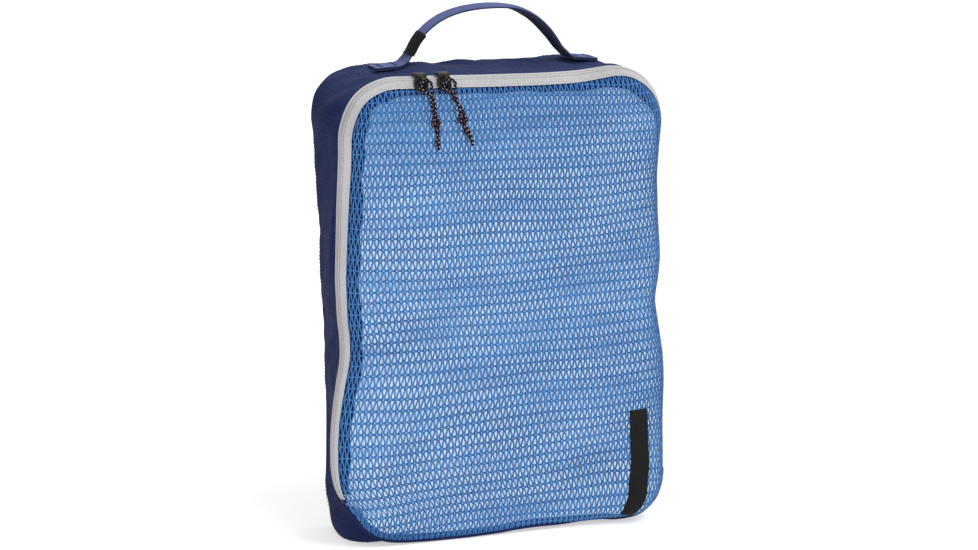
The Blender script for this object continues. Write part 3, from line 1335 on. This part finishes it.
def filling():
    count, front_rings = ((460, 64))
    arcs = np.linspace(0, AROUND, count, endpoint=False)
    uneven = 0.9 * waves(arcs[:, None], seed=51, span=(40, 130), count=8) \
        + 2.5 * np.exp(-((arcs - JOINS[3] - 40) / 40) ** 2)
    inset = np.interp(arcs, FILL_ARCS, FILL_INSETS) \
        + np.where((arcs > 180) & (arcs < 735), uneven, 0.0)
    inset = smooth_ring(inset, width=10 * count / AROUND)
    front_out = around(FRONT_OUT, arcs)
    x, z = off_outline(arcs, front_out - inset)
    edge = pair(x, np.maximum(z, 1.5))
    radius = np.interp(inset, [3, 6, 16], [1.0, 2.0, 4.0])
    centre = np.array([2.0, 178.0])
    front = []
    for scale in (1 - np.linspace(0, 1, front_rings) ** 1.35)[:-1]:
        x, z = (centre + (edge - centre) * scale).T
        inward = np.linalg.norm(edge - centre, axis=1) * (1 - scale)
        rim = unit(inward / radius)
        drop = radius * 0.75 * (1 - np.sqrt(unit(1 - (1 - rim) ** 2)))
        fine, _ = lumps(x, z)
        crease = np.clip(-fine - 0.1, 0, 2) * 1.1 + 0.85 + 1.8 * unit((z - 300) / 40) ** 1.5
        front.append(xyz(x, net_y(x, z) + NET_THICK + crease + drop, z))
    middle_y = net_y(centre[0:1], centre[1:2])[0] + NET_THICK + 1.0
    side = []
    front_y = front[0][:, 1]
    for share in np.linspace(0.12, 1, 16):
        y = front_y + (22.0 - front_y) * share
        bulge = 2.4 * np.sin(math.pi * share) \
            + 0.8 * waves(pair(arcs, y), seed=55, span=(20, 60), count=10)
        x, z = off_outline(arcs, np.minimum(front_out - inset + bulge, wall_out(arcs, y) - 3.0))
        side.append(xyz(x, y, np.maximum(z, 1.6)))
    back = []
    for scale in (0.94, 0.8, 0.5, 0.2):
        x, z = (centre + (side[-1][:, [0, 2]] - centre) * scale).T
        back.append(xyz(x, 23.5 + 1.5 * (1 - scale), z))
    return ring_solid("filling", back[::-1] + side[::-1] + front,
                      [("last", (centre[0], middle_y, centre[1])),
                       ("first", (centre[0], 25.0, centre[1]))], FILLING)


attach(filling(), "pouch")


# ------------------------------------------------------------------ back panel and front hem
def back_panel():
    count = 560
    thick = 0.9
    arcs = np.linspace(0, AROUND, count, endpoint=False)
    edge = shell(arcs, BACK_Y, 1.4)[:, [0, 2]] / MM
    centre = np.array([0.0, 178.0])
    outer = []
    for scale in (1 - np.linspace(0, 1, 46) ** 1.3)[:-1]:
        x, z = (centre + (edge - centre) * scale).T
        inward = np.linalg.norm(edge - centre, axis=1) * (1 - scale)
        soft = unit(inward / 9)
        pillow = 3.0 * (1 - (1 - unit(inward / 70)) ** 2)
        wrinkle = 0.55 * waves(pair(x, z), seed=61, span=(40, 120), count=12) \
            + 0.22 * waves(pair(x * 0.5 + z * 0.2, z), seed=63, span=(16, 36), count=12)
        pucker = 0.35 * np.sin(arcs * 2 * math.pi / 14.9) * np.exp(-inward / 6)
        y = BACK_Y + 0.3 + 1.1 * np.sqrt(soft) + pillow + soft * wrinkle \
            + pucker * unit(inward / 2)
        outer.append(xyz(x, y, z))
    inner = [ring - np.array([0, thick, 0]) for ring in outer]
    middle_y = BACK_Y + 4.6
    return ring_solid("back_sheet", outer[::-1] + inner,
                      [("first", (centre[0], middle_y, centre[1])),
                       ("last", (centre[0], middle_y - thick, centre[1]))], NAVY, with_uv=True)


register(back_panel(), "pouch", "navy_fabric", "back_panel")
# hem over the net's lower edge
register(sweep("bottom_front_hem", np.linspace(ZIP_END + 3.2, ZIP_START + AROUND - 3.2, 240),
               rounded_profile(-0.4, 1.3, -0.9, 0.45, 4), rim_point, NAVY),
         "pouch", "navy_fabric")

# ------------------------------------------------------------------ handle
strap_lo, strap_hi = box_mm("handle_strap")
STRAP_Y = (strap_lo[1] + strap_hi[1]) / 2
STRAP_STEPS = 240
# centre line from the left foot to the right: x, z
STRAP_PATH = spline([
    (-90.5, 363.8), (-78, 364.5), (-69.5, 365.4), (-65, 368.8), (-61.8, 375.5), (-57, 384),
    (-49, 392.8), (-38, 400.2), (-24.5, 405.2), (-8.5, 407.8), (9, 408.0), (24, 405.4),
    (37, 399), (47, 390.4), (55, 381), (61.5, 371.5), (65.5, 367.0), (73, 365.8),
    (80.5, 365.2), (87, 364.3)], STRAP_STEPS)


def path_normals(path):
    """Direction of travel turned a quarter counter-clockwise in x, z."""
    tangents = normed(np.gradient(path, axis=0))
    return pair(-tangents[:, 1], tangents[:, 0])


STRAP_NORMALS = path_normals(STRAP_PATH)
STRAP_TILT = 0.05 - 0.22 / (1 + np.exp(-(np.arange(STRAP_STEPS) - 148) / 9.0))


def strap_point(station, across, lift):
    """Point of the strap: across runs along y, lift outwards from the centre line."""
    station, across, lift = np.broadcast_arrays(station, across, lift)
    middle = along_path(STRAP_PATH, station)
    normal = along_path(STRAP_NORMALS, station)
    tilt = STRAP_TILT[np.floor(np.clip(station, 0, STRAP_STEPS - 1)).astype(int)]
    up = lift + across * tilt * unit((70 - np.abs(middle[..., 0])) / 20)
    # narrowed and slightly cupped where it leaves the pouch
    free = smoothstep((middle[..., 1] - 367.0) / 10.0)
    up = up - 0.017 * across * across * free
    point = middle + normal * up[..., None]
    return xyz(point[..., 0], STRAP_Y + across * (1 - 0.27 * free), point[..., 1]) * MM


strap = fix_normals(sweep("handle_webbing", np.arange(float(STRAP_STEPS)),
                          rounded_profile(-9.9, 9.9, -1.05, 0.85, 16), strap_point, WEBBING))
register(strap, None, "navy_webbing", "handle_strap", "handle_foot_left", "handle_foot_right")
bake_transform(strap)

# folded-under ends
register(join("handle_fold_ends",
              [sweep("fold", np.arange(first, last + 0.01, 2.0),
                     rounded_profile(-9.6, 9.6, -2.2, -0.85, 10), strap_point, WEBBING)
               for first, last in ((0, 24), (215, 239))]),
         "pouch", "navy_webbing")


def bar_tacks():
    """Rows of stitches across both feet of the strap."""
    tacks = []
    for station in (6, 19, 233, 220):
        for across in np.arange(-8.6, 8.7, 0.55):
            line = strap_point(station + np.array([-1.6, -0.5, 0.5, 1.6]),
                               across + np.array([0, 0.08, 0.16, 0.24]),
                               np.array([0.72, 1.05, 1.05, 0.72])) / MM
            tacks.append(tube("stitch", line, 0.24, NAVY_THREAD, sides=5))
    return join("bar_tack_stitches", tacks)


register(bar_tacks(), "pouch", "thread", "handle_bar_tacks")

# blank tag wrapped round the left leg, between two heights
tag_low, tag_high = np.interp([372.5, 389.0], STRAP_PATH[:80, 1], np.arange(80))
tag = fix_normals(sweep("size_tag_blank", np.linspace(tag_low, tag_high, 14),
                        rounded_profile(-10.9, 10.9, -1.75, 1.5, 12), strap_point, LABEL))
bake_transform(tag)
register(tag, None, "black_label", "size_tag")


# ------------------------------------------------------------------ sliders and cord pulls
def plate(shape, front_y, back_y, bevel, x=0, z=0):
    """Bevelled plate with its shape in x, z and its thickness in y."""
    tangents = normed(np.roll(shape, -1, 0) - np.roll(shape, 1, 0))
    normals = pair(tangents[:, 1], -tangents[:, 0])
    middle = shape.mean(0)
    if ((shape + normals * 0.1 - middle) ** 2).sum() < ((shape - middle) ** 2).sum():
        normals = -normals
    rows = [(front_y, -bevel), (front_y + bevel * 0.35, -bevel * 0.35), (front_y + bevel, 0),
            (back_y - bevel, 0), (back_y - bevel * 0.35, -bevel * 0.35), (back_y, -bevel)]
    rings = []
    for y, out in rows:
        ring = shape + normals * out
        rings.append(xyz(ring[:, 0] + x, y, ring[:, 1] + z))
    return ring_solid("plate", rings, [("first", (x + middle[0], front_y, z + middle[1])),
                                       ("last", (x + middle[0], back_y, z + middle[1]))],
                      GUNMETAL)


def slider(side):
    """Slider and its bail; returns the bail's centre as x, y, z."""
    node, bail_node = f"slider_{side}", f"bail_{side}"
    lo, hi = box_mm(node)
    bail_lo, bail_hi = box_mm(bail_node)
    x, top = (lo[0] + hi[0]) / 2, hi[2]
    bail_y = (bail_lo[1] + bail_hi[1]) / 2
    hang_z = bail_hi[2] - 1.2            # the bail hangs from here
    middle_z = top - 5.6
    angle = np.linspace(0, 2 * math.pi, 36, endpoint=False)
    shape = pair(rounded(np.cos(angle), 0.7) * (4.9 + 0.7 * np.cos(2 * angle)),
                 rounded(np.sin(angle), 0.75) * 5.9)
    parts = [plate(shape, NET_Y - 2.0, NET_Y + 0.1, 0.55, x, middle_z)]
    # narrow flanges below and above
    for sign in (-1, 1):
        parts.append(plate(shape * np.array([0.86, 0.22]), NET_Y - 1.4, NET_Y + 1.6, 0.4,
                           x, middle_z + sign * 5.4))
    # top plate lying on the gusset side of the chain
    top_plate = plate(shape * np.array([0.95, 0.62]), -1.0, 0.7, 0.45)
    top_plate.data.transform(Matrix.Translation(Vector((x, ZIP_Y + 2.0, top + 0.4)) * MM)
                             @ Matrix.Rotation(math.radians(90), 4, "X"))
    parts.append(top_plate)
    # bridge over the plate, widened along x
    arch = spline([(x, NET_Y - 1.6, top - 2.2), (x, NET_Y - 3.6, top - 2.6),
                   (x, NET_Y - 5.4, hang_z + 1.9), (x, NET_Y - 6.0, hang_z - 0.2),
                   (x, NET_Y - 4.9, hang_z - 2.6), (x, NET_Y - 2.8, hang_z - 3.8),
                   (x, NET_Y - 1.6, hang_z - 4.0)], 40)
    bridge = tube("bridge", arch, 0.85, GUNMETAL)
    to_centre = Matrix.Translation(Vector((x, 0, 0)) * MM)
    from_centre = Matrix.Translation(Vector((-x, 0, 0)) * MM)
    bridge.data.transform(to_centre @ Matrix.Diagonal((1.7, 1, 1, 1)) @ from_centre)
    parts.append(bridge)
    register(join(f"slider_body_{side}", parts), node, "slider_metal", node)
    # bail: a rounded wire loop through the bridge
    angle = np.linspace(0, 2 * math.pi, 48, endpoint=False)
    half_w, half_h = 3.7, 4.2
    rise = half_h * rounded(np.sin(angle), 0.8)
    bail_z = hang_z - 3.6
    wire = xyz(x + half_w * rounded(np.cos(angle), 0.8), bail_y + 0.10 * (rise - half_h),
               bail_z + rise)
    register(tube(f"bail_wire_{side}", wire, 0.72, GUNMETAL, closed=True),
             f"pull_{side}", "slider_metal", bail_node)
    return x, bail_y, bail_z


def cord_path(bail, steps, travel=0.0):
    """Path from the bail down over the net: steps in x, z from the bail; the depth clears the net
    all along the slider's travel."""
    bail_x, bail_y, bail_z = bail
    path = []
    for i, (step_x, step_z) in enumerate(steps):
        x, z = bail_x + step_x, bail_z + step_z
        offsets = np.linspace(0, travel, 25)
        y = float(net_y(x + offsets, z + 0 * offsets).min()) - 1.7
        path.append((x, min(y, bail_y - 1.5) if i < 3 else y, z))
    return path


def braid_bump(length, angle):
    phase = length * 2 * math.pi / 1.7
    return 0.09 * np.sin(phase + 3 * angle) * np.sin(phase - 3 * angle)


def cord_pull(side, path, knot_at, phase, gap, tail):
    """Doubled cord: looped through the bail, its halves side by side, knotted near the end.

    knot_at is a share of the length, gap the halves' spread at the bail, tail below the knot.
    """
    count = 96
    path = spline(path, count)
    tangents = normed(np.gradient(path, axis=0))
    across = normed(np.cross(tangents, np.array([0, 1.0, 0])))
    over = np.cross(tangents, across)
    lengths = path_lengths(path)
    knot = int(knot_at * (count - 1))
    half = np.interp(lengths, [0, 3, 7, 12, lengths[-1]],
                     [gap * 0.6, gap, gap * 0.7, 1.16, 1.16])[:, None]
    turn = phase + (lengths - lengths[10]) * 2 * math.pi / 30.0
    turn = (turn * unit((lengths - 6) / 8))[:, None]
    below_knot = unit((np.arange(count) - knot - 4) / (count - knot))[:, None]
    halves = []
    for sign in (-1, 1):
        off = sign * half * (np.cos(turn) * across + 0.55 * np.sin(turn) * over) \
            + below_knot * sign * tail * across
        # one end is a little shorter
        halves.append((path + off)[:count - (4 if sign > 0 else 0)])
    top = path[0] + np.array([0, 0.6, 1.0])
    aside = across[0] * gap * 0.30
    strand = spline(np.concatenate([halves[0][::-3], [top - aside, top + aside],
                                    halves[1][::3]]), 330)
    # trefoil knot
    angle = np.linspace(0, 2 * math.pi, 110, endpoint=False)[:, None]
    trefoil = path[knot] + (np.sin(angle) + 2 * np.sin(2 * angle)) * 1.12 * across[knot] \
        + (np.cos(angle) - 2 * np.cos(2 * angle)) * 1.35 * tangents[knot] \
        - np.sin(3 * angle) * 1.35 * over[knot]
    cord = join(f"cord_pull_{side}", [
        tube("strand", strand, 1.18, CORD, bump=braid_bump),
        tube("knot", trefoil, 1.22, CORD, closed=True, bump=braid_bump)])
    register(cord, f"pull_{side}", "black_cord", f"cord_{side}")


left_bail, right_bail = slider("left"), slider("right")
cord_pull("left", cord_path(left_bail, [
    (1.2, 3.2), (3.0, -1.5), (6.4, -7.0), (8.2, -18.5), (9.2, -29), (9.9, -36), (8.8, -46.5)]),
    knot_at=0.60, phase=0.5, gap=4.4, tail=0.3)
cord_pull("right", cord_path(right_bail, [
    (1.2, 3.2), (2.9, -1.4), (6.0, -9.0), (10.4, -19), (11.6, -28.5), (15.4, -36),
    (19.6, -44.5)], travel=108.0),
    knot_at=0.585, phase=2.0, gap=4.8, tail=0.25)

# ------------------------------------------------------------------ side label
label_lo, label_hi = box_mm("side_label")
LABEL_STEPS = 64
# centre line: x from the label's middle, z from its top
LABEL_LINE = np.array([(1.3, -0.5), (2.5, -16), (3.3, -32), (3.7, -49), (3.2, -62), (1.2, -75),
                       (-4.2, -88.5)])
LABEL_PATH = spline(LABEL_LINE + [(label_lo[0] + label_hi[0]) / 2, label_hi[2]], LABEL_STEPS)
label_taper = 1 - 0.26 * unit((np.arange(LABEL_STEPS) - 48) / 15.0)
LABEL_ACROSS = (path_normals(LABEL_PATH) * 0.62 + np.array([0.36, 0.0])) * label_taper[:, None]


def label_point(station, across, lift):
    """Point of the label, lying on the net."""
    station, across, lift = np.broadcast_arrays(station, across, lift)
    flat = along_path(LABEL_PATH, station) + along_path(LABEL_ACROSS, station) * across[..., None]
    x, z = flat[..., 0], flat[..., 1]
    return xyz(x, net_y(x, np.maximum(z, 2.0)) - 0.35 - lift, np.maximum(z, 0.8)) * MM


label = fix_normals(sweep("side_label_blank", np.linspace(0, LABEL_STEPS - 1, 90),
                          rounded_profile(-7.4, 7.4, 0.0, 0.75, 14), label_point, LABEL))
register(label, None, "black_label", "side_label")
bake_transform(label)
label_stitches = join("side_label_stitches", [
    tube("stitch", label_point(station + np.array([0.0, 0.6, 1.2]), 6.5 * sign,
                               np.array([0.60, 0.98, 0.60])) / MM,
         0.17, BLACK_THREAD, sides=5)
    for sign in (-1, 1) for station in np.arange(1.5, 61, 1.7)])
register(label_stitches, None, "thread")
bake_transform(label_stitches)

# the CAD patches under the handle stay and get the binding material
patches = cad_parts["handle_backing_patches"]
patches.data.materials.clear()
patches.data.materials.append(BINDING)

# ------------------------------------------------------------------ stage, light, camera (metres)
FLOOR_HALF = 30
floor_corners = np.array([[-1, -1, 0], [1, -1, 0], [1, 1, 0], [-1, 1, 0]], float) * FLOOR_HALF
make_mesh("floor", floor_corners, [np.array([[0, 1, 2, 3]])], floor_material())


def studio_world():
    """A bright surround, strongest from above and from the front right."""
    bright_side = (0.61, -0.51, 0.61)
    contrast, level = 0.44, 0.72
    seen_level = 1.02                    # what the camera sees behind the floor
    world = bpy.data.worlds.new("studio")
    bpy.context.scene.world = world
    world.use_nodes = True
    nodes, link = world.node_tree.nodes, world.node_tree.links.new
    background = nodes["Background"]
    background.inputs[0].default_value = (0.985, 0.99, 1, 1)
    coords = nodes.new("ShaderNodeTexCoord")
    toward = nodes.new("ShaderNodeVectorMath")
    toward.operation = "DOT_PRODUCT"
    link(coords.outputs["Generated"], toward.inputs[0])
    toward.inputs[1].default_value = bright_side
    strength = nodes.new("ShaderNodeMath")
    strength.operation = "MULTIPLY_ADD"
    link(toward.outputs["Value"], strength.inputs[0])
    strength.inputs[1].default_value = contrast
    strength.inputs[2].default_value = level
    ray = nodes.new("ShaderNodeLightPath")
    choice = nodes.new("ShaderNodeMix")
    choice.data_type = "FLOAT"
    link(ray.outputs["Is Camera Ray"], choice.inputs[0])
    link(strength.outputs[0], choice.inputs[2])
    choice.inputs[3].default_value = seen_level
    link(choice.outputs[0], background.inputs[1])


def key_light(direction, energy, spread_degrees):
    sun = bpy.data.lights.new("key", "SUN")
    sun.energy = energy
    sun.angle = math.radians(spread_degrees)
    ob = bpy.data.objects.new("key", sun)
    ob.rotation_euler = Vector(direction).to_track_quat("-Z", "Y").to_euler()
    bpy.context.scene.collection.objects.link(ob)


def camera(target, azimuth, elevation, distance, lens, shift):
    """Camera looking at the target; azimuth 0 is straight in front, negative to the left."""
    azimuth, elevation = math.radians(azimuth), math.radians(elevation)
    backward = Vector((math.sin(azimuth) * math.cos(elevation),
                       -math.cos(azimuth) * math.cos(elevation), math.sin(elevation)))
    data = bpy.data.cameras.new("camera")
    data.sensor_width = 36
    data.lens = lens
    data.shift_x, data.shift_y = shift
    data.clip_end = 100
    ob = bpy.data.objects.new("camera", data)
    ob.location = Vector(target) + backward * distance
    ob.rotation_euler = backward.to_track_quat("Z", "Y").to_euler()
    bpy.context.scene.collection.objects.link(ob)
    bpy.context.scene.camera = ob


studio_world()
key_light(direction=(-0.36, 0.55, -1.0), energy=1.5, spread_degrees=30)
camera(target=(0, 0, 0.18), azimuth=-18.8, elevation=12.8, distance=1.85,
       lens=87.791411043, shift=(0.00071574642, 0.024846625767))
view = bpy.context.scene.view_settings
view.view_transform = "Standard"
view.look = "None"
